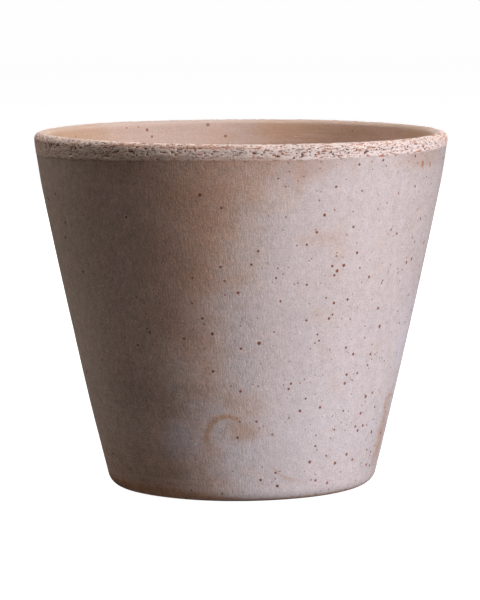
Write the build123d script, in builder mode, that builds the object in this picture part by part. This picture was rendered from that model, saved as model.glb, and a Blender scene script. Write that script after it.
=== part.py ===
from build123d import *
import math
import os

# Terracotta flower pot, turned in one piece: a tapered round wall with a slight belly, a steeper band
# under a rounded lip, a rounded foot, and a floor with a drain hole.
# Millimetres. The origin is the centre of the foot, on the surface that the pot stands on, and +Z is up.

# Driving dimensions
rim_diameter = 180.0
height = 154.3
foot_diameter = 115.4  # where the outer wall would meet the ground without its rounding
foot_rounding = 6.4
wall_belly = 0.8  # how far the wall's middle stands out from a straight line
rim_band_height = 13.7
rim_band_taper = 1.15  # the band's lower end is this much further in than the lip
rim_band_rounding = 150.0  # soft bend where the band meets the wall
lip_thickness = 6.3
lip_crest_inset = 3.15  # from the outside of the lip to its highest ring
lip_fall_outside = 2.7  # height of the lip's rounding on each side
lip_fall_inside = 2.0
wall_thickness_foot = 8.0
floor_thickness = 10.0
floor_rounding = 10.0  # inside, between wall and floor
drain_diameter = 20.0
drain_edge_rounding = 1.25
foot_ring_inner_diameter = 88.0  # the pot stands on the ring outside this
foot_recess_depth = 1.5
foot_recess_rounding = 1.2

# Sizes worked out from them
rim_radius = rim_diameter / 2
foot_radius = foot_diameter / 2
lip_crest_radius = rim_radius - lip_crest_inset
lip_inner_radius = rim_radius - lip_thickness
foot_ring_inner_radius = foot_ring_inner_diameter / 2
wall_top_radius = rim_radius - rim_band_taper
wall_top_height = height - rim_band_height
wall_slope = (wall_top_radius - foot_radius) / wall_top_height
floor_radius = foot_radius + wall_slope * floor_thickness - wall_thickness_foot

# Corners of the pot's section, as distance from the axis and height
foot_corner = (foot_radius, 0)
wall_top = (wall_top_radius, wall_top_height)
lip_outside = (rim_radius, height - lip_fall_outside)
lip_inside = (lip_inner_radius, height - lip_fall_inside)
floor_corner = (floor_radius, floor_thickness)
floor_centre = (0, floor_thickness)
recess_centre = (0, foot_recess_depth)
recess_corner = (foot_ring_inner_radius, foot_recess_depth)
foot_ring_inside = (foot_ring_inner_radius, 0)

# The pot: one closed section turned about Z, then the drain hole through the floor.
with BuildPart() as pot:
    with BuildSketch(Plane.XZ) as section:
        with BuildLine():
            SagittaArc(foot_corner, wall_top, -wall_belly)
            Line(wall_top, lip_outside)
            EllipticalCenterArc(
                (lip_crest_radius, height - lip_fall_outside),
                x_radius=lip_crest_inset,
                y_radius=lip_fall_outside,
                arc_size=90,
            )
            EllipticalCenterArc(
                (lip_crest_radius, height - lip_fall_inside),
                x_radius=lip_thickness - lip_crest_inset,
                y_radius=lip_fall_inside,
                start_angle=90,
                arc_size=90,
            )
            SagittaArc(lip_inside, floor_corner, wall_belly)
            Polyline(
                floor_corner,
                floor_centre,
                recess_centre,
                recess_corner,
                foot_ring_inside,
                foot_corner,
            )
        make_face()
        for corner, rounding in (
            (foot_corner, foot_rounding),
            (wall_top, rim_band_rounding),
            (floor_corner, floor_rounding),
            (recess_corner, foot_recess_rounding),
        ):
            fillet(section.vertices().sort_by_distance(corner)[0], rounding)
    revolve(axis=Axis.Z)
    with Locations((0, 0, floor_thickness)):
        Hole(drain_diameter / 2)
    hole_edges = pot.edges().filter_by(GeomType.CIRCLE).filter_by(
        lambda edge: math.isclose(edge.radius, drain_diameter / 2)
    )
    fillet(hole_edges, drain_edge_rounding)

pot.part.label = "pot"

os.makedirs("parts", exist_ok=True)
export_step(pot.part, "parts/pot.step")
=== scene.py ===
import math

import bpy
import numpy as np
from mathutils import Matrix, Vector


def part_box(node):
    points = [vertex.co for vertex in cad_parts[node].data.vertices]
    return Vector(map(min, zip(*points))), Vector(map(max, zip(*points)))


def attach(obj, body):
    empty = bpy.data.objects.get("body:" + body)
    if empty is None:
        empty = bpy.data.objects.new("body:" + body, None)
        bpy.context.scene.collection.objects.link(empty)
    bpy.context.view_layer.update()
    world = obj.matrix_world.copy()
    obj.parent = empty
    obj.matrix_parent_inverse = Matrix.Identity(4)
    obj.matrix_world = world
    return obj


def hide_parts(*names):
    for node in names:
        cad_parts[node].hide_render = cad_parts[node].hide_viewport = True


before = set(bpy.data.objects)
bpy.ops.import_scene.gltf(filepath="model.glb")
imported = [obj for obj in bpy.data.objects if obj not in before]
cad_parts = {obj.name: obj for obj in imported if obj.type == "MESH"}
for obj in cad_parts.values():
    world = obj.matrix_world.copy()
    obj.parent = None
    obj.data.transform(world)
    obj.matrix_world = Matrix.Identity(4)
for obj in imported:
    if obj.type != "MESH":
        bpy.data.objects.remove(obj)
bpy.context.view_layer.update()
pot_low, pot_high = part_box("pot")

# ---------------------------------------------------------------- sizes, in metres

MM = 0.001
height = pot_high.z
rim_radius = (pot_high.x - pot_low.x) / 2

# The section repeats the CAD part's own sizes.
foot_radius = 57.7 * MM
foot_rounding = 6.4 * MM
wall_belly = 0.8 * MM
band_height = 13.7 * MM
band_taper = 1.15 * MM
band_blend = 1.3 * MM
lip_thickness = 6.3 * MM
lip_crest_inset = 3.15 * MM
lip_fall_outside = 2.7 * MM
lip_fall_inside = 2.0 * MM
wall_thickness_foot = 8.0 * MM
floor_thickness = 10.0 * MM
floor_rounding = 10.0 * MM
floor_bend_start = -14  # degrees: the wall leans out, so the bend starts below level
floor_bend_drop = 2.4 * MM
floor_bend_inset = 0.972  # of the bend's own radius
drain_radius = 10.0 * MM
drain_rounding = 1.25 * MM
recess_radius = 44.0 * MM
recess_depth = 1.5 * MM
recess_rounding = 1.2 * MM

crest_radius = rim_radius - lip_crest_inset
inner_lip_radius = rim_radius - lip_thickness
wall_top = height - band_height
wall_top_radius = rim_radius - band_taper
lip_top = height - lip_fall_outside

# Where one visible zone hands over to the next
lip_zone_outside = height - 16.0 * MM
lip_zone_inside = height - 6.0 * MM

# How far apart the rows of points are, and how many columns of them go round each zone
wall_spacing = 1.2 * MM
lip_spacing = 0.4 * MM
inside_spacing = 1.8 * MM
wall_columns = 480
lip_columns = 3 * wall_columns
underside_columns = wall_columns // 2

# A hand-turned pot isn't quite true.
lean = 0.0070  # metres sideways for each metre up
rim_tilt = -0.0085  # metres up for each metre to the right, at the rim
wander_height = 0.35 * MM  # the front of the rim dips and rises by this much
wander_waves = 1.35  # in a whole turn
wander_phase = 0.1  # radians
wander_reach = 1.5  # radians to each side of the front
unevenness = 0.16 * MM
unevenness_size = 38 * MM
ring_depth = 0.035 * MM  # of the rings that turning left
ring_size = (90 * MM, 90 * MM, 4.5 * MM)

# The lip was left raw: a thin pitted band that stands out from the smoothed wall below it.
raw_drop = 6.7 * MM  # how far the band reaches down the outside, at the front
raw_slope = 1.9 * MM  # its edge is this much lower at the left side, and higher at the right
raw_sag = 0.6 * MM  # and this much lower at both
raw_dip = 0.35 * MM  # and this much lower again over the left half
raw_wander = 0.3 * MM  # and it wanders by this much
raw_wander_size = 9 * MM
raw_step = 0.16 * MM  # how far it stands out at its lower edge
raw_waves = 0.08 * MM
raw_waves_size = (5 * MM, 5 * MM, 1.6 * MM)
raw_grain = 0.04 * MM
raw_grain_size = (1.5 * MM, 1.5 * MM, 0.9 * MM)
pit_depth = 0.34 * MM
rusty_depth = 0.7  # of a dark pit's

# The raw band's pits, in millimetres. A place is how far outwards from the crest, over the lip.
pit_count = 1900
pit_places = (-1.2, 6.2, 9.8)  # first, most common and last
pit_half_long = 0.40  # half of the middle length
pit_spread = 0.60  # of the natural logarithm of the length
pit_longest = 1.9  # half of the greatest length
pit_half_tall = (0.20, 0.38)
pit_strength = (0.5, 1.0)
dark_share = 0.42
mark_reach = 2.2  # half lengths from its middle, past which a mark is nothing
mark_edge_power = 1.5  # above 1 gives a flatter middle and a steeper edge than a bell's

# Marks that stand out: degrees round from the front, place, half length and half height.
lip_scars = (
    # Long rusty streaks near the front
    (-10.5, 4.1, 5.2, 0.30),
    (-13, 4.9, 1.6, 0.34),
    (-5, 3.6, 3.6, 0.26),
    (-18, 4.6, 2.4, 0.26),
    (4, 4.4, 2.2, 0.26),
    (-31, 3.0, 2.6, 0.26),
    # Shorter ones at the right
    (41, 8.9, 2.2, 0.36),
    (57, 8.2, 2.6, 0.30),
    (55, 5.0, 0.9, 0.60),
    (59, 6.6, 1.2, 0.50),
    # Two chips below the band
    (60, 13.4, 1.0, 1.30),
    (65, 13.8, 0.8, 0.95),
)


# ---------------------------------------------------------------- helpers


def new_object(name, data):
    """An object of the scene that holds this mesh, light or camera."""
    thing = bpy.data.objects.new(name, data)
    bpy.context.scene.collection.objects.link(thing)
    return thing


def smoothstep(low, high, value):
    """0 up to low and 1 from high on, smooth between. low may be the larger number."""
    t = np.clip((value - low) / (high - low), 0, 1)
    return t * t * (3 - 2 * t)


class Noise:
    """Smooth value noise on a seeded lattice. It gives numbers from -1 to 1."""

    size = 64

    def __init__(self, seed):
        self.lattice = np.random.default_rng(seed).uniform(-1, 1, (self.size,) * 3)

    def __call__(self, points, scale):
        """scale is one length or one for each axis: the distance between two lattice points."""
        place = points / np.asarray(scale, float)
        cell = np.floor(place).astype(int)
        part = place - cell
        part = part * part * (3 - 2 * part)
        total = np.zeros(points.shape[:-1])
        for corner in np.ndindex(2, 2, 2):
            offset = np.array(corner)
            weight = np.where(offset, part, 1 - part).prod(-1)
            i, j, k = np.moveaxis((cell + offset) % self.size, -1, 0)
            total += weight * self.lattice[i, j, k]
        return total


broad_noise = Noise(11)
turning_noise = Noise(12)
rough_noise = Noise(13)
edge_noise = Noise(14)

# ---------------------------------------------------------------- the pot's section


def outer_radius(z):
    """Outer wall and band under the lip, between the foot's rounding and the lip's rounding."""
    t = z / wall_top
    wall = foot_radius + (wall_top_radius - foot_radius) * t + 4 * wall_belly * t * (1 - t)
    band = wall_top_radius + band_taper * (z - wall_top) / (lip_top - wall_top)
    share = np.clip(0.5 + 0.5 * (band - wall) / band_blend, 0, 1)
    return band * (1 - share) + wall * share - band_blend * share * (1 - share)


def inner_radius(z):
    """Inner wall, from the lip's rounding down to the floor."""
    foot = foot_radius + (wall_top_radius - foot_radius) * floor_thickness / wall_top - wall_thickness_foot
    t = (z - floor_thickness) / (height - lip_fall_inside - floor_thickness)
    return foot + (inner_lip_radius - foot) * t + 4 * wall_belly * t * (1 - t)


def arc(centre, radii, start, end, count):
    """Points on an arc or part of an ellipse, as (radius, height). Angles are in degrees."""
    angle = np.radians(np.linspace(start, end, count))
    return np.stack([centre[0] + radii[0] * np.cos(angle), centre[1] + radii[1] * np.sin(angle)], 1)


def rows_between(radius_of, start, end, count):
    """Points on a wall from one height to another, as (radius, height)."""
    z = np.linspace(start, end, count)
    return np.stack([radius_of(z), z], 1)


def joined(*runs):
    """Runs of points end to end, without repeated points."""
    points = np.concatenate(runs)
    step = np.linalg.norm(np.diff(points, axis=0), axis=1)
    return points[np.concatenate([[True], step > 1e-7])]


def even(points, spacing):
    """The same line with its points an even distance apart."""
    step = np.linalg.norm(np.diff(points, axis=0), axis=1)
    along = np.concatenate([[0], np.cumsum(step)])
    count = max(2, round(along[-1] / spacing) + 1)
    at = np.linspace(0, along[-1], count)
    return np.stack([np.interp(at, along, points[:, 0]), np.interp(at, along, points[:, 1])], 1)


def underside_line():
    """From the middle of the drain hole, over the recess, to the ring that the pot stands on."""
    ceiling = recess_depth
    hole_centre = (drain_radius + drain_rounding, ceiling + drain_rounding)
    hole = arc(hole_centre, (drain_rounding,) * 2, 180, 270, 7)
    step_centre = (recess_radius - recess_rounding, ceiling - recess_rounding)
    step = arc(step_centre, (recess_rounding,) * 2, 90, 0, 7)
    middle = [[drain_radius, floor_thickness / 2 + ceiling / 2]]
    ring = [[recess_radius, 0.0], foot_arc()[0]]
    return joined(middle, hole, step, ring)


def foot_arc():
    """The foot's rounded edge, from the ring that the pot stands on to the wall."""
    slope = (wall_top_radius - foot_radius + 4 * wall_belly) / wall_top
    centre = foot_radius + slope * foot_rounding - foot_rounding * math.hypot(1, slope)
    return arc((centre, foot_rounding), (foot_rounding,) * 2, -90, -math.degrees(math.atan(slope)), 24)


def outside_line():
    """From the foot's edge up the wall to the lip zone."""
    foot = foot_arc()
    return joined(foot, rows_between(outer_radius, foot[-1][1], lip_zone_outside, 200))


def lip_line():
    """Up the band, over the crest and a little way down inside."""
    outside = rows_between(outer_radius, lip_zone_outside, lip_top, 60)
    crest = arc((crest_radius, lip_top), (lip_crest_inset, lip_fall_outside), 0, 90, 30)
    inner_width = lip_thickness - lip_crest_inset
    inner = arc((crest_radius, height - lip_fall_inside), (inner_width, lip_fall_inside), 90, 180, 30)
    down = rows_between(inner_radius, height - lip_fall_inside, lip_zone_inside, 20)
    return joined(outside, crest, inner, down)


def inside_line():
    """Down the inner wall, round the corner and over the floor to the middle of the drain hole."""
    corner = floor_thickness + floor_rounding
    wall = rows_between(inner_radius, lip_zone_inside, corner - floor_bend_drop, 150)
    bend_centre = (wall[-1][0] - floor_rounding * floor_bend_inset, corner)
    bend = arc(bend_centre, (floor_rounding,) * 2, floor_bend_start, -90, 16)
    hole_centre = (drain_radius + drain_rounding, floor_thickness - drain_rounding)
    hole = arc(hole_centre, (drain_rounding,) * 2, 90, 180, 7)
    middle = [[drain_radius, floor_thickness / 2 + recess_depth / 2]]
    return joined(wall, bend, hole, middle)


# ---------------------------------------------------------------- surface of the clay


def swell(points):
    """How far the surface stands out from the section: slow unevenness left by the potter's hands."""
    slow = broad_noise(points, unevenness_size) * unevenness
    rings = turning_noise(points, ring_size) * ring_depth
    return slow + rings


def raw_share(points):
    """1 on the raw band round the lip and 0 away from it. Its lower edge wanders a little."""
    x, y, z = np.moveaxis(points, -1, 0)
    side = x / rim_radius
    edge = height - raw_drop + raw_slope * side * np.abs(side) - raw_sag * side**2
    edge = edge - raw_dip * smoothstep(0, -0.5, side) + edge_noise(points, raw_wander_size) * raw_wander
    outside = smoothstep(edge - 0.2 * MM, edge + 0.3 * MM, z)
    inside = smoothstep(crest_radius - 1.6 * MM, crest_radius - 0.2 * MM, np.hypot(x, y))
    return outside * inside


def crest_share(points):
    """1 on top of the lip, where it is paler."""
    return smoothstep(height - 3.0 * MM, height - 1.2 * MM, points[..., 2])


def inner_share(points):
    """0 on the outside of the lip and 1 on its inner side."""
    radius = np.hypot(points[..., 0], points[..., 1])
    return smoothstep(crest_radius - 0.4 * MM, crest_radius - 1.8 * MM, radius)


def around_lip(points):
    """Azimuth in radians, and the way across the lip in metres: 0 on the crest, more towards the outside."""
    x, y, z = np.moveaxis(points, -1, 0)
    out = np.hypot(x, y) - crest_radius
    return np.arctan2(x, -y), out - np.sign(out) * (z - height)


def stamp(field, azimuth, across, centre, half_sizes, strength):
    """Presses one oval mark into a field of rows and columns, and keeps the deeper of the two."""
    columns = field.shape[1]
    reach = math.ceil(mark_reach * half_sizes[0] / (2 * math.pi * rim_radius / columns)) + 1
    middle = round((centre[0] + math.pi) / (2 * math.pi) * columns)
    near = np.arange(middle - reach, middle + reach + 1) % columns
    turn = (azimuth[:, near] - centre[0] + math.pi) % (2 * math.pi) - math.pi
    oval = (turn * rim_radius / half_sizes[0]) ** 2 + ((across[:, near] - centre[1]) / half_sizes[1]) ** 2
    field[:, near] = np.maximum(field[:, near], strength * np.exp(-(oval**mark_edge_power)))


def lip_marks(points):
    """Dark pits and rusty scars of the raw band, as two fields from 0 to 1. Most are longer than tall."""
    azimuth, across = around_lip(points)
    dark = np.zeros(azimuth.shape)
    rusty = np.zeros(azimuth.shape)
    random = np.random.default_rng(21)
    for _ in range(pit_count):
        turn = random.uniform(-math.pi, math.pi)
        place = random.triangular(*pit_places) * MM
        half_long = min(pit_half_long * math.exp(pit_spread * random.normal()), pit_longest) * MM
        half_tall = min(half_long, random.uniform(*pit_half_tall) * MM)
        field = dark if random.random() < dark_share else rusty
        strength = random.uniform(*pit_strength)
        stamp(field, azimuth, across, (turn, place), (half_long, half_tall), strength)
    for degrees, place, half_long, half_tall in lip_scars:
        sizes = (half_long * MM, half_tall * MM)
        stamp(rusty, azimuth, across, (math.radians(degrees), place * MM), sizes, 1.0)
    return dark, rusty


def lip_relief(points):
    """The raw band stands out by a low step and is uneven, grainy and pitted."""
    raw = raw_share(points)
    dark, rusty = lip_marks(points)
    waves = rough_noise(points, raw_waves_size) * raw_waves
    grain = rough_noise(points, raw_grain_size) * raw_grain
    pits = np.maximum(dark, rusty_depth * rusty) * pit_depth
    thicker_below = smoothstep(height, height - raw_drop, points[..., 2]) * raw_step
    return swell(points) + raw * (thicker_below + waves + grain) - pits


def out_of_true(points):
    """The whole pot leans a little, its rim tips, and the lip's height wanders."""
    x, y, z = np.moveaxis(points, -1, 0)
    up = np.clip(z / height, 0, 1)
    azimuth = np.arctan2(x, -y)
    fade = np.exp(-((azimuth / wander_reach) ** 2))
    wander = wander_height * np.sin(azimuth * wander_waves + wander_phase) * fade
    lifted = rim_tilt * x * up - wander * smoothstep(0.55, 1.0, up)
    return np.stack([x + lean * (z - height / 2), y, z + lifted], -1)


def turned(line, columns, relief):
    """Where a surface of revolution starts from, its final positions, and its normals, row by row."""
    before = 2 * line[0] - line[1]
    after = 2 * line[-1] - line[-2]
    line = np.concatenate([[before], line, [after]])
    tangent = np.gradient(line, axis=0)
    tangent /= np.linalg.norm(tangent, axis=1)[:, None]
    azimuth = np.linspace(-math.pi, math.pi, columns, endpoint=False)
    across = np.sin(azimuth)
    ahead = -np.cos(azimuth)

    def ring(radius, z):
        out = radius[:, None]
        return np.stack([out * across, out * ahead, np.repeat(z[:, None], columns, 1)], -1)

    places = ring(line[:, 0], line[:, 1])
    outward = ring(tangent[:, 1], -tangent[:, 0])
    points = out_of_true(places + outward * relief(places)[..., None])
    along = np.gradient(points, axis=0)
    around = np.roll(points, -1, 1) - np.roll(points, 1, 1)
    normal = np.cross(around, along)
    normal /= np.linalg.norm(normal, axis=-1)[..., None]
    return places[1:-1], points[1:-1], normal[1:-1]


def grid_mesh(name, points, normals):
    """A closed band of quads through rows and columns of points, with the normals that they are given."""
    rows, columns = points.shape[:2]
    index = np.arange(rows * columns).reshape(rows, columns)
    right = np.roll(index, -1, 1)
    quads = np.stack([index[:-1], right[:-1], right[1:], index[1:]], -1).reshape(-1, 4)
    mesh = bpy.data.meshes.new(name)
    mesh.vertices.add(points.size // 3)
    mesh.vertices.foreach_set("co", points.reshape(-1).astype(np.float32))
    mesh.loops.add(quads.size)
    mesh.loops.foreach_set("vertex_index", quads.reshape(-1).astype(np.int32))
    mesh.polygons.add(len(quads))
    mesh.polygons.foreach_set("loop_start", np.arange(0, quads.size, 4, dtype=np.int32))
    mesh.update(calc_edges=True)
    mesh.validate()
    mesh.normals_split_custom_set_from_vertices(normals.reshape(-1, 3).tolist())
    return new_object(name, mesh)


def make_zone(name, line, columns, relief=swell):
    """One zone of the pot's skin, and the places on the true section that its points came from."""
    places, points, normals = turned(line, columns, relief)
    return grid_mesh(name, points, normals), places


def store(piece, name, values):
    """Keeps one number for each point of the mesh, for the material to read."""
    layer = piece.data.attributes.new(name, "FLOAT", "POINT")
    layer.data.foreach_set("value", values.reshape(-1).astype(np.float32))


outside, _ = make_zone("outside_wall", even(outside_line(), wall_spacing), wall_columns)
lip, lip_places = make_zone("rough_lip", even(lip_line(), lip_spacing), lip_columns, lip_relief)
inside, _ = make_zone("inside_wall", even(inside_line(), inside_spacing), wall_columns)
underside, _ = make_zone("underside", even(underside_line(), wall_spacing), underside_columns)

dark_pits, rusty_scars = lip_marks(lip_places)
store(lip, "raw", raw_share(lip_places))
store(lip, "crest", crest_share(lip_places))
store(lip, "inner", inner_share(lip_places))
store(lip, "below_crest", (height - lip_places[..., 2]) / MM)
store(lip, "dark_pit", dark_pits)
store(lip, "rusty_scar", rusty_scars)

# ---------------------------------------------------------------- clay colours, linear

clay_warm = (0.735, 0.540, 0.445)
clay_ruddy = (0.775, 0.515, 0.425)
clay_inner = (0.690, 0.475, 0.380)
clay_inner_pale = (0.680, 0.545, 0.510)
clay_inner_brown = (0.580, 0.368, 0.220)
clay_raw = (0.945, 0.685, 0.575)
clay_raw_limed = (0.930, 0.780, 0.765)
clay_crest_pale = (0.940, 0.760, 0.700)
lime_bloom = (0.750, 0.628, 0.638)
paler_bluer_low = (0.765, 0.668, 0.705)
bluish_pale = (0.790, 0.710, 0.775)
damp_stain_and_shade = (0.565, 0.325, 0.235)
tan_mark = (0.620, 0.360, 0.240)
foot_edge_shade = (0.600, 0.280, 0.150)
iron_speck = (0.280, 0.090, 0.044)
rust = (0.500, 0.190, 0.090)
deep_pit = (0.190, 0.066, 0.034)
chalk = (0.900, 0.860, 0.840)

# ---------------------------------------------------------------- pattern nodes


class Pattern:
    """Builds one material's nodes. Lengths are in millimetres and angles in degrees.

    azimuth is 0 in front and behind is 0 at the back. Both grow to the right.
    """

    def __init__(self, name):
        self.material = bpy.data.materials.new(name)
        self.material.use_nodes = True
        tree = self.material.node_tree
        self.nodes, self.links = tree.nodes, tree.links
        self.shader = self.nodes["Principled BSDF"]
        self.shader.inputs["Specular IOR Level"].default_value = 0.2
        metres = self.nodes.new("ShaderNodeTexCoord").outputs["Object"]
        self.point = self.node("ShaderNodeVectorMath", [metres, (1 / MM,) * 3], operation="MULTIPLY")
        split = self.nodes.new("ShaderNodeSeparateXYZ")
        self.links.new(self.point, split.inputs[0])
        x, y, self.height = split.outputs
        turn = self.math("ARCTAN2", x, self.math("MULTIPLY", y, -1.0))
        self.azimuth = self.math("MULTIPLY", turn, 180 / math.pi)
        turn_behind = self.math("ARCTAN2", x, y)
        self.behind = self.math("MULTIPLY", turn_behind, 180 / math.pi)

    def node(self, kind, values, output=0, **settings):
        """Adds a node. values fill its inputs in order or by name, with sockets, numbers or colours."""
        node = self.nodes.new(kind)
        for key, setting in settings.items():
            setattr(node, key, setting)
        for key, value in values.items() if isinstance(values, dict) else enumerate(values):
            if isinstance(value, bpy.types.NodeSocket):
                self.links.new(value, node.inputs[key])
            else:
                node.inputs[key].default_value = value
        return node.outputs[output]

    def math(self, operation, *values):
        return self.node("ShaderNodeMath", values, operation=operation)

    def fold(self, operation, values):
        total = values[0]
        for value in values[1:]:
            total = self.math(operation, total, value)
        return total

    def plus(self, *values):
        return self.fold("ADD", values)

    def times(self, *values):
        return self.fold("MULTIPLY", values)

    def most(self, *values):
        return self.fold("MAXIMUM", values)

    def rest(self, value):
        """What is left of 1."""
        return self.math("SUBTRACT", 1.0, value)

    def step(self, value, start, end):
        """0 before start and 1 past end, smooth between. start may be the larger number."""
        return self.node("ShaderNodeMapRange", [value, start, end], interpolation_type="SMOOTHSTEP")

    def between(self, value, start, full_from, full_to, end):
        """1 from full_from to full_to, and smoothly down to 0 at start and at end."""
        return self.times(self.step(value, start, full_from), self.step(value, end, full_to))

    def scaled(self, factors, shift):
        """The place on the pot, scaled and then moved, for a texture that has its own seed."""
        return self.node("ShaderNodeVectorMath", [self.point, factors, shift], operation="MULTIPLY_ADD")

    def noise(self, size, seed, detail=2.0, roughness=0.5):
        """Cloudy noise round 0, mostly within 0.25. size is one length, or one for each axis."""
        sizes = size if isinstance(size, tuple) else (size,) * 3
        shift = (7.3 * seed, 3.1 * seed, 5.7 * seed)
        place = self.scaled(tuple(1 / s for s in sizes), shift)
        settings = {"Vector": place, "Scale": 1.0, "Detail": detail, "Roughness": roughness}
        return self.math("SUBTRACT", self.node("ShaderNodeTexNoise", settings), 0.5)

    def mix(self, share, first, second):
        """The first colour where share is 0 and the second where it is 1."""
        colours = [c if isinstance(c, bpy.types.NodeSocket) else (*c, 1.0) for c in (first, second)]
        values = {0: share, 6: colours[0], 7: colours[1]}
        return self.node("ShaderNodeMix", values, output=2, data_type="RGBA")

    def shade(self, colour, factor):
        return self.node("ShaderNodeVectorMath", {0: colour, 3: factor}, operation="SCALE")

    def stored(self, name):
        """A number that store() kept for each point of the mesh."""
        return self.node("ShaderNodeAttribute", {}, output=2, attribute_name=name)

    def specks(self, cell, largest, seed, crowding):
        """Round specks, at most one to a cell. crowding, from 0 to 1, is the share of cells with one."""
        place = self.scaled((1 / cell,) * 3, (2.9 * seed, 4.7 * seed, 1.3 * seed))
        cells = self.node("ShaderNodeTexVoronoi", {"Vector": place, "Scale": 1.0}).node
        chance, size, _ = self.node("ShaderNodeSeparateColor", [cells.outputs["Color"]]).node.outputs
        radius = self.times(self.plus(self.times(size, size, 0.7), 0.3), largest / cell)
        spot = self.step(cells.outputs["Distance"], radius, self.times(radius, 0.55))
        return self.times(spot, self.math("LESS_THAN", chance, crowding))

    def spot(self, azimuth, at_height, radius, radius_of=outer_radius):
        """One round speck on the outer wall, or on the wall whose radius radius_of gives."""
        turn = math.radians(azimuth)
        out = radius_of(at_height * MM) / MM
        centre = (out * math.sin(turn), -out * math.cos(turn), at_height)
        away = self.node("ShaderNodeVectorMath", [self.point, centre], output=1, operation="DISTANCE")
        return self.step(away, radius * 1.15, radius * 0.7)

    def oval(self, azimuth, at_height, half_turn, half_tall, ragged, lumps):
        """How far from the middle of an oval on the wall: 0 in the middle and 1 at its ragged edge."""
        wide = self.times(self.math("SUBTRACT", self.azimuth, azimuth), 1 / half_turn)
        tall = self.times(self.math("SUBTRACT", self.height, at_height), 1 / half_tall)
        away = self.math("SQRT", self.plus(self.times(wide, wide), self.times(tall, tall)))
        return self.plus(away, self.times(lumps, ragged))

    def patch(self, azimuth, at_height, half_turn, half_tall, ragged, lumps, gone=1.2, full=0.2):
        """1 in a ragged oval's middle and 0 outside. full and gone are shares of the way to its edge."""
        return self.step(self.oval(azimuth, at_height, half_turn, half_tall, ragged, lumps), gone, full)

    def finish(self, colour, relief, depth=0.15, dullness=0.9):
        """Ends the material. A unit of relief stands depth millimetres high. Roughness varies a little."""
        roughness = self.plus(dullness, self.noise(6, 31))
        bump = self.node("ShaderNodeBump", {"Strength": 1.0, "Distance": depth * MM, "Height": relief})
        self.links.new(colour, self.shader.inputs["Base Color"])
        self.links.new(roughness, self.shader.inputs["Roughness"])
        self.links.new(bump, self.shader.inputs["Normal"])
        return self.material


# ---------------------------------------------------------------- outside of the wall

# Specks that stand out: azimuth in degrees, height and radius in millimetres.
large_specks = (
    (32, 102, 0.8),
    (28, 102, 0.65),
    (29, 98, 0.6),
    (24, 124, 0.75),
    (27, 126, 0.5),
    (-6, 103, 0.6),
    (-5, 97, 0.5),
    (-1, 92, 0.65),
    (3, 104, 0.6),
    (12, 88, 0.5),
    (30, 86, 0.65),
    (35, 87, 0.6),
    (30, 81, 0.5),
    (37, 66, 0.6),
    (39, 54, 0.65),
    (26, 70, 0.5),
    (50, 28, 0.7),
    (64, 15, 0.55),
    (59, 37, 0.6),
    (44, 54, 0.6),
    (40, 38, 0.5),
    (23, 45, 0.5),
    (17, 52, 0.55),
    (11, 30, 0.45),
    (5, 36, 0.5),
    (-1, 36, 0.45),
    (-2, 29, 0.6),
    (7, 10, 0.6),
    (13, 13, 0.55),
    (14, 7, 0.7),
    (39, 3, 0.7),
    (43, 3, 0.55),
    (-9, 4, 0.5),
    (-22, 5, 0.45),
    (-31, 74, 0.5),
)


def warm_stain(p, lumps):
    """The damp, darker patch at the upper front, in four overlapping clouds."""
    top = p.patch(-7, 150, 40, 16, 1.4, lumps, 1.25, 0.15)
    upper = p.patch(-13, 132, 19, 26, 1.4, lumps, 1.35, 0.0)
    middle = p.patch(-17, 107, 17, 26, 1.4, lumps, 1.35, 0.0)
    lower = p.patch(-20, 85, 13, 22, 1.4, lumps, 1.3, 0.1)
    return p.most(top, upper, p.times(middle, 0.9), p.times(lower, 0.6))


def ring_stain(p, lumps):
    """A half ring with smudges beside it, low on the front, and part of a wider ring to its right."""
    away = p.oval(-6, 28.5, 7.5, 10, 0.35, lumps)
    line = p.step(p.math("ABSOLUTE", p.math("SUBTRACT", away, 1.0)), 0.22, 0.02)
    upper_left = p.step(p.plus(p.height, p.times(p.azimuth, -0.8)), 31, 40)
    half_ring = p.times(line, upper_left)
    above = p.times(p.patch(1, 42, 10, 11, 1.0, lumps, gone=1.15), 0.42)
    beside = p.times(p.patch(0, 32, 9, 7, 1.2, lumps, gone=1.15), 0.66)
    wide = p.math("ABSOLUTE", p.math("SUBTRACT", p.oval(24, 26, 16, 17, 0.1, lumps), 1.0))
    lower_left = p.times(p.step(p.height, 18, 15), p.between(p.azimuth, 9, 12, 21, 26))
    wide_ring = p.times(p.step(wide, 0.07, 0.01), lower_left, 0.40)
    return p.most(half_ring, above, beside, wide_ring)


def side_stain(p, lumps):
    """A long run down the right side, and faint smudges near it."""
    fray = p.noise((3, 3, 9), 9, detail=4, roughness=0.65)
    run = p.times(p.patch(72, 25, 6, 22, 2.4, fray, 1.1, 0.3), 0.62)
    faint = p.times(p.patch(24, 114, 12, 5, 1.5, lumps, gone=1.1), 0.3)
    under_lip = p.times(p.patch(60, 145, 16, 6, 1.0, lumps), 0.42)
    return p.most(run, faint, under_lip)


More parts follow.
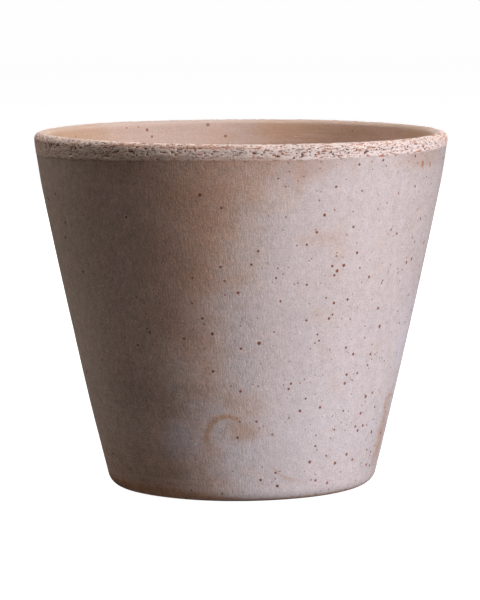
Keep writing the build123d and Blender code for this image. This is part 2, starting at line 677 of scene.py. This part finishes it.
def limed_clay_and_shade_tint(p, lumps, clouds, at_back):
    """The clay's colour under a bloom of lime, and the share of the bloom. At the left the clay's warmth is
    partly a painted warm shade tint.
    """
    # Lime has bloomed over the right side and low down. The clay stays warm at the left and the top; at the
    # left that warmth is partly the warm tint of shade, painted into the colour.
    slant = p.plus(p.times(p.height, 0.16), -19.5)
    lead = p.plus(p.azimuth, p.times(slant, -1.0), p.times(lumps, 55.0))
    toward = p.math("SINE", p.times(lead, math.pi / 180))
    patchy = p.times(at_back, p.step(clouds, -0.06, 0.12))
    bloom = p.most(p.step(toward, -0.28, 0.34), p.times(patchy, 0.8))
    # Low down the colour is paler and bluer.
    low = p.step(p.plus(p.height, p.times(clouds, 60.0)), 105, 10)
    lime = p.mix(low, lime_bloom, paler_bluer_low)
    ragged = p.plus(p.azimuth, p.times(lumps, 40.0))
    ruddy = p.times(p.step(ragged, -62, -30), p.step(p.azimuth, 10, -14))
    colour = p.mix(bloom, p.mix(ruddy, clay_warm, clay_ruddy), lime)

    # The colour is bluest on a patch at the right and on another low at the front left.
    bluest_right = p.times(p.patch(80, 60, 20, 30, 1.0, lumps), 0.9)
    bluest_left = p.times(p.patch(-24, 27, 9, 12, 1.0, lumps), 0.5)
    colour = p.mix(p.most(bluest_right, bluest_left), colour, bluish_pale)

    # Clouds of thinner lime let the clay through.
    thin = p.times(p.step(lumps, 0.03, 0.26), bloom, 0.45)
    return p.mix(thin, colour, clay_warm), bloom


def stains_and_foot_shade(p, colour, lumps, clouds, mottle):
    """The same colour with the outer wall's stains, with the brown round the foot that painted shade deepens
    on the left, and with painted shade along the foot's edge.
    """
    stain = p.times(warm_stain(p, lumps), p.plus(0.86, p.times(mottle, 0.9)))
    colour = p.mix(stain, colour, damp_stain_and_shade)
    marks = p.most(ring_stain(p, lumps), side_stain(p, lumps))
    colour = p.mix(p.times(marks, 0.9), colour, tan_mark)
    # Brown round the foot, deepened on the shaded left by painted shade.
    foot_brown_and_shade = p.step(p.plus(p.height, p.times(clouds, 24.0)), 34, 4)
    left_side = p.between(p.azimuth, -172, -120, -40, 8)
    colour = p.mix(p.times(foot_brown_and_shade, p.plus(0.12, p.times(left_side, 0.56))), colour, damp_stain_and_shade)
    # A line of painted shade along the foot's edge, widest on the left.
    painted_edge_shade = p.step(p.plus(p.height, p.times(left_side, -4.5)), 2.6, 0.4)
    return p.mix(p.times(painted_edge_shade, 0.65), colour, foot_edge_shade)


def broad_tones_and_painted_shade(p, lumps, not_back_right, not_back_left):
    """Broad lighter and darker parts of the outer wall, as a number round 0. The darkening under the lip and
    at the foot's left corner is painted shade.
    """
    middle = p.between(p.azimuth, -32, -15, 25, 42)
    # Painted shade under the lip, less at the front.
    under_lip = p.times(p.step(p.height, 133, 148), p.plus(-0.07, p.times(middle, 0.05)))
    high = p.step(p.height, 70, 150)
    round_right = p.times(p.step(p.azimuth, 28, 82), not_back_right, p.plus(-0.13, p.times(high, -0.06)))
    low_left = p.times(p.step(p.height, 78, 48), p.step(p.azimuth, -28, -46), not_back_left, -0.08)
    smudge = p.times(p.patch(-28, 46, 24, 10, 1.0, lumps), -0.14)
    # Painted shade at the foot, on the left.
    painted_foot_shade = p.times(p.step(p.azimuth, -48, -72), not_back_left, p.step(p.height, 9, 2), -0.30)
    pale = p.times(p.patch(11, 112, 26, 38, 0.8, lumps, full=0.3), 0.055)
    return p.plus(under_lip, round_right, low_left, smudge, painted_foot_shade, pale)


def wall_specks(p, clouds, not_back_right, at_back):
    """Iron specks. They crowd the right side, and are fewer at the back and fewest at the left."""
    crowding = p.step(p.plus(p.azimuth, p.times(clouds, 60.0)), -25, 55)
    crowding = p.plus(0.10, p.times(crowding, not_back_right, 0.85), p.times(at_back, 0.18))
    coarse = p.specks(3.9, 1.05, 7, crowding)
    fine = p.specks(2.2, 0.58, 8, p.times(crowding, 0.8))
    chosen = p.most(*(p.spot(*speck) for speck in large_specks))
    return p.most(p.times(coarse, 0.95), p.times(fine, 0.75), chosen)


def outer_clay(p):
    """Colour of the outer wall, and its relief."""
    lumps = p.noise(16, 1, detail=4, roughness=0.62)
    clouds = p.noise(34, 2, detail=3)
    grain = p.noise(0.75, 3, detail=3, roughness=0.7)
    mottle = p.noise(3.2, 4, detail=3, roughness=0.6)

    # Azimuth jumps from 180 to -180 at the back. What it steers fades out on each side before that.
    not_back_right = p.step(p.azimuth, 172, 105)
    not_back_left = p.step(p.azimuth, -172, -105)
    at_back = p.between(p.behind, -78, -45, 45, 78)

    colour, bloom = limed_clay_and_shade_tint(p, lumps, clouds, at_back)
    pink = p.patch(9, 52, 10, 38, 0.8, lumps)
    colour = p.mix(p.times(pink, 0.12), colour, clay_ruddy)
    colour = stains_and_foot_shade(p, colour, lumps, clouds, mottle)

    # Brush marks run down the front left. Turning lines run round the foot.
    brushed = p.between(p.azimuth, -75, -35, -6, 22)
    streaks = p.noise((0.75, 0.75, 6), 5, detail=2, roughness=0.7)
    turning = p.noise((70, 70, 0.8), 6, detail=2)
    near_foot = p.times(p.step(p.height, 60, 20), p.step(p.azimuth, 5, -25))
    brush_lines = p.times(streaks, p.plus(0.12, p.times(brushed, 0.38)))
    turning_lines = p.times(turning, p.plus(0.06, p.times(near_foot, 0.36)))

    tones_and_painted_shade = p.plus(broad_tones_and_painted_shade(p, lumps, not_back_right, not_back_left), p.times(pink, 0.03))
    uneven = p.plus(p.times(grain, 1.10), p.times(mottle, 0.56))
    uneven = p.times(uneven, p.plus(1.0, p.times(bloom, -0.35)))
    tone = p.plus(1.0, tones_and_painted_shade, brush_lines, turning_lines, uneven, p.times(clouds, 0.16))
    colour = p.shade(colour, tone)

    speck = wall_specks(p, clouds, not_back_right, at_back)
    colour = p.mix(speck, colour, iron_speck)
    chips = p.most(p.spot(19, 74, 0.6), p.spot(-18, 26, 0.7))
    colour = p.mix(p.times(chips, 0.8), colour, chalk)

    brush_relief = p.times(streaks, p.plus(0.3, p.times(brushed, 0.6)))
    relief = p.plus(grain, p.times(mottle, 0.7), brush_relief, p.times(speck, -0.35))
    return colour, relief


# ---------------------------------------------------------------- inside of the wall

# Specks high on the inner wall: degrees from the back, growing to the right, height and radius.
inner_specks = (
    (-30.5, 150.6, 0.85),
    (-29, 147.5, 0.65),
    (-38, 152.0, 0.6),
    (-33.5, 152.1, 0.5),
    (-10, 152.2, 0.9),
    (-4.5, 146.8, 0.7),
    (-62, 150.0, 0.6),
    (38, 149.5, 0.5),
)


def inner_clay(p):
    """Colour of the inner wall and floor, and its relief."""
    clouds = p.noise(30, 11, detail=4, roughness=0.6)
    patches = p.noise((24, 24, 12), 12, detail=4, roughness=0.65)
    grain = p.noise(0.9, 13, detail=3, roughness=0.7)
    drag = p.noise((40, 40, 1.6), 14, detail=3, roughness=0.6)

    # Pale lime lies left of the middle of the back wall. The right is browner and blotched.
    ragged = p.plus(p.behind, p.times(clouds, 60.0))
    pale = p.between(ragged, -80, -36, -10, 14)
    colour = p.mix(p.times(pale, 0.65), clay_inner, clay_inner_pale)
    right = p.between(p.behind, -14, 16, 110, 150)
    blotches = p.times(p.step(patches, -0.04, 0.10), p.plus(0.08, p.times(right, 0.36)))
    not_front_left = p.step(p.behind, -125, -95)
    left_end = p.times(not_front_left, p.step(ragged, -28, -64), 0.52)
    colour = p.mix(p.most(blotches, left_end), colour, clay_inner_brown)

    # Lime and dirt have settled over the floor and just above it.
    settled = p.step(p.plus(p.height, p.times(clouds, 40.0)), 34, 14)
    colour = p.mix(p.times(settled, 0.45), colour, clay_raw)
    left_half = p.times(not_front_left, p.step(p.behind, -5, -25), -0.05)
    tone = p.plus(1.0, left_half, p.times(grain, 0.42), p.times(drag, 0.16), p.times(clouds, 0.14))
    colour = p.shade(colour, tone)

    # Near the rim the only large specks are the listed ones.
    coarse = p.times(p.specks(7.0, 1.2, 15, 0.6), p.step(p.height, 146, 138), 0.7)
    fine = p.times(p.specks(3.4, 0.6, 16, 0.3), 0.5)
    chosen = p.most(*(p.spot(180 - turn, z, radius, inner_radius) for turn, z, radius in inner_specks))
    speck = p.most(coarse, fine, p.times(chosen, 0.8))
    colour = p.mix(speck, colour, iron_speck)
    relief = p.plus(grain, p.times(drag, 0.9), p.times(speck, -0.35))
    return colour, relief


# ---------------------------------------------------------------- raw lip

# How strong a mark pressed into the lip has to be before its colour starts and is full
mark_edges = (0.28, 0.5)


def raw_clay(p):
    """Colour of the raw band and its paler crest, and its relief: grainy, full of small dark pits."""
    grain = p.noise(0.7, 21, detail=3, roughness=0.75)
    clusters = p.noise(9, 22, detail=2)
    crumbs = p.noise((1.5, 1.5, 0.6), 23, detail=2, roughness=0.6)
    scars = p.noise((2.6, 2.6, 0.6), 24, detail=2, roughness=0.6)

    crest = p.stored("crest")
    below = p.stored("below_crest")
    limed = p.between(p.azimuth, -45, 35, 60, 120)
    colour = p.mix(p.times(crest, 0.7), p.mix(limed, clay_raw, clay_raw_limed), clay_crest_pale)

    # At the front left a brown line runs under the crest, then a painted highlight along a ridge. Near the
    # front the band's lower edge is brown too.
    line = p.times(p.between(below, 0.4, 1.0, 1.6, 2.1), p.between(p.azimuth, -46, -34, -3, 5))
    painted_ridge_highlight = p.times(p.between(below, 1.9, 2.6, 3.8, 4.8), p.between(p.azimuth, -62, -42, -16, -4))
    skirt = p.times(p.step(below, 4.6, 5.6), p.between(p.azimuth, -36, -22, 6, 18))
    colour = p.mix(p.times(p.most(line, skirt), 0.45), colour, damp_stain_and_shade)
    # Painted light brightens the left of the band.
    painted_light_left = p.times(p.between(p.azimuth, -74, -52, -24, -2), 0.08)
    tone = p.plus(1.0, painted_light_left, p.times(painted_ridge_highlight, 0.26), grain, p.times(clusters, 0.2))
    colour = p.shade(colour, tone)

    rusty = p.plus(scars, p.times(clusters, 0.3), p.times(crest, 0.02), p.times(line, 0.05))
    rusty = p.times(p.step(rusty, 0.06, 0.12), 0.80)
    rusty = p.most(rusty, p.step(p.stored("rusty_scar"), *mark_edges))
    colour = p.mix(p.times(rusty, 0.9), colour, rust)
    pits = p.plus(crumbs, p.times(clusters, -0.3), p.times(crest, -0.02))
    pits = p.times(p.step(pits, 0.12, 0.18), 0.85)
    pits = p.most(pits, p.step(p.stored("dark_pit"), *mark_edges))
    colour = p.mix(p.times(pits, 0.9), colour, deep_pit)
    relief = p.plus(p.times(grain, 1.1), p.times(pits, -1.0), p.times(rusty, -0.4))
    return colour, relief


# ---------------------------------------------------------------- materials


def outside_material():
    p = Pattern("clay_outside")
    colour, relief = outer_clay(p)
    return p.finish(colour, relief)


def inside_material():
    p = Pattern("clay_inside")
    colour, relief = inner_clay(p)
    return p.finish(colour, relief)


def lip_material():
    """Outer wall, raw band and inner wall, each where the lip's own marks say."""
    p = Pattern("clay_lip")
    outer, outer_relief = outer_clay(p)
    inner, inner_relief = inner_clay(p)
    raw, raw_relief = raw_clay(p)
    side, bare = p.stored("inner"), p.stored("raw")
    inner = p.mix(p.times(p.stored("crest"), 0.3), inner, clay_crest_pale)
    chip = p.step(p.stored("rusty_scar"), 0.25, 0.6)
    colour = p.mix(p.times(chip, 0.85), p.mix(side, outer, inner), rust)
    colour = p.mix(bare, colour, raw)
    smooth = p.plus(p.times(outer_relief, p.rest(side)), p.times(inner_relief, side))
    relief = p.plus(p.times(smooth, p.rest(bare)), p.times(raw_relief, bare))
    return p.finish(colour, relief)


def underside_material():
    """Plain clay, rubbed pale where the foot stands."""
    p = Pattern("clay_underside")
    clouds = p.noise(22, 41, detail=4, roughness=0.6)
    grain = p.noise(0.9, 42, detail=3, roughness=0.7)
    colour = p.mix(p.step(clouds, -0.1, 0.2), clay_warm, clay_inner)
    rubbed = p.times(p.step(p.height, 1.2, 0.2), p.step(p.noise(7, 43, detail=3), -0.2, 0.1))
    colour = p.mix(p.times(rubbed, 0.6), colour, clay_raw)
    colour = p.shade(colour, p.plus(1.0, p.times(grain, 0.4), p.times(clouds, 0.2)))
    speck = p.specks(5.5, 1.1, 44, 0.5)
    colour = p.mix(p.times(speck, 0.7), colour, iron_speck)
    relief = p.plus(grain, p.times(speck, -0.3))
    return p.finish(colour, relief, depth=0.16, dullness=0.92)


for piece, make_material in (
    (outside, outside_material),
    (lip, lip_material),
    (inside, inside_material),
    (underside, underside_material),
):
    piece.data.materials.append(make_material())
    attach(piece, "root")
    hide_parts("pot")

# ---------------------------------------------------------------- studio

# Lengths are in metres.
light_distance = 1.6
small = 0.45
large = 0.8
white = (1.0, 1.0, 1.0)
warm_white = (1.01, 1.0, 0.96)

# Name, azimuth and elevation in degrees, size in metres, power in watts and colour
soft_lights = (
    ("key", 60, 15, small, 18.4, white),
    ("key_wrap", 40, 15, small, 5.4, white),
    ("front_left", -58, 15, small, 0.8, warm_white),
    ("back", 178, 18, small, 9.0, white),
    ("left", -110, 40, small, 5.0, warm_white),
    ("overhead_left", -110, 72, large, 5.1, warm_white),
    ("overhead_back", -170, 72, large, 6.3, warm_white),
)


def area_light(name, shape, size, power):
    data = bpy.data.lights.new(name, "AREA")
    data.shape = shape
    data.size = size
    data.energy = power
    return new_object(name, data)


def soft_light(name, azimuth, elevation, size, power, colour):
    """A square soft light that faces the pot. Azimuth 0 is in front, and grows to the right."""
    light = area_light(name, "SQUARE", size, power)
    light.data.color = colour
    a, e = math.radians(azimuth), math.radians(elevation)
    target = Vector((0, 0, height / 2))
    direction = Vector((math.sin(a) * math.cos(e), -math.cos(a) * math.cos(e), math.sin(e)))
    light.location = target + light_distance * direction
    light.rotation_euler = (-direction).to_track_quat("-Z", "Y").to_euler()


def table_bounce(radius, power):
    """Light that a pale table top throws back up at the foot and the underside of the slope."""
    light = area_light("table_bounce", "DISK", 2 * radius, power)
    light.location = (0, 0, 0.5 * MM)
    light.rotation_euler = (math.pi, 0, 0)
    light.visible_camera = False


for settings in soft_lights:
    soft_light(*settings)
table_bounce(radius=0.25, power=0.072)

world = bpy.data.worlds.new("studio")
world.use_nodes = True
world.node_tree.nodes["Background"].inputs["Strength"].default_value = 0.0
bpy.context.scene.world = world


def make_backdrop():
    """A round white floor whose edge curves up, so that every side of the pot has the same backdrop."""
    floor_edge, bend, top = 4.0, 1.5, 6.0
    bend_steps, columns = 12, 96
    line = [(0.0, 0.0), (floor_edge, 0.0)]
    for k in range(1, bend_steps + 1):
        angle = math.radians(90 * k / bend_steps)
        line.append((floor_edge + bend * math.sin(angle), bend - bend * math.cos(angle)))
    line.append((floor_edge + bend, top))
    vertices = [(0.0, 0.0, 0.0)]
    faces = []
    for r, z in line[1:]:
        for c in range(columns):
            turn = 2 * math.pi * c / columns
            vertices.append((r * math.cos(turn), r * math.sin(turn), z))
    for c in range(columns):
        faces.append((0, 1 + c, 1 + (c + 1) % columns))
    for row in range(len(line) - 2):
        a, b = 1 + row * columns, 1 + (row + 1) * columns
        for c in range(columns):
            d = (c + 1) % columns
            faces.append((a + c, b + c, b + d, a + d))
    mesh = bpy.data.meshes.new("backdrop")
    mesh.from_pydata(vertices, [], faces)
    mesh.shade_smooth()
    return new_object("backdrop", mesh)


def paper_material():
    """White paper that glows, so that it stays white in any light. Where the pot stands on it the glow
    drops, as a painted shadow.
    """
    p = Pattern("white_paper")
    flat = p.node("ShaderNodeVectorMath", [p.point, (1.0, 1.0, 0.0)], operation="MULTIPLY")
    away = p.node("ShaderNodeVectorMath", [flat], output=1, operation="LENGTH")
    # Painted shadow: the paper glows much less under the pot.
    painted_shadow_under_pot = p.step(away, 54, 44)
    full_glow, painted_shadow_depth = 0.98, 0.93
    glow = p.times(full_glow, p.plus(1.0, p.times(painted_shadow_under_pot, -painted_shadow_depth)))
    p.links.new(glow, p.shader.inputs["Emission Strength"])
    p.shader.inputs["Emission Color"].default_value = (1, 1, 1, 1)
    p.shader.inputs["Base Color"].default_value = (0.35, 0.35, 0.35, 1)
    p.shader.inputs["Roughness"].default_value = 1.0
    p.shader.inputs["Specular IOR Level"].default_value = 0.0
    return p.material


backdrop = make_backdrop()
backdrop.data.materials.append(paper_material())
backdrop.visible_diffuse = False
backdrop.visible_glossy = False

# ---------------------------------------------------------------- camera

# The camera stands in front, a little above the rim, and looks through a long lens.
view_distance = 17.05 * rim_radius
view_elevation = math.radians(6.377)
view_roll = -0.0106  # radians
aim = Vector((-0.0063 * rim_radius, 0, 0.8909 * rim_radius))

camera_data = bpy.data.cameras.new("camera")
camera_data.lens = 210.1
camera_data.sensor_width = 36
camera = new_object("camera", camera_data)
forward = view_distance * math.cos(view_elevation)
camera.location = (0, -forward, aim.z + view_distance * math.sin(view_elevation))
look = (aim - camera.location).to_track_quat("-Z", "Y").to_matrix()
camera.rotation_euler = (look @ Matrix.Rotation(view_roll, 3, "Z")).to_euler()
bpy.context.scene.camera = camera
bpy.context.scene.view_settings.view_transform = "Standard"
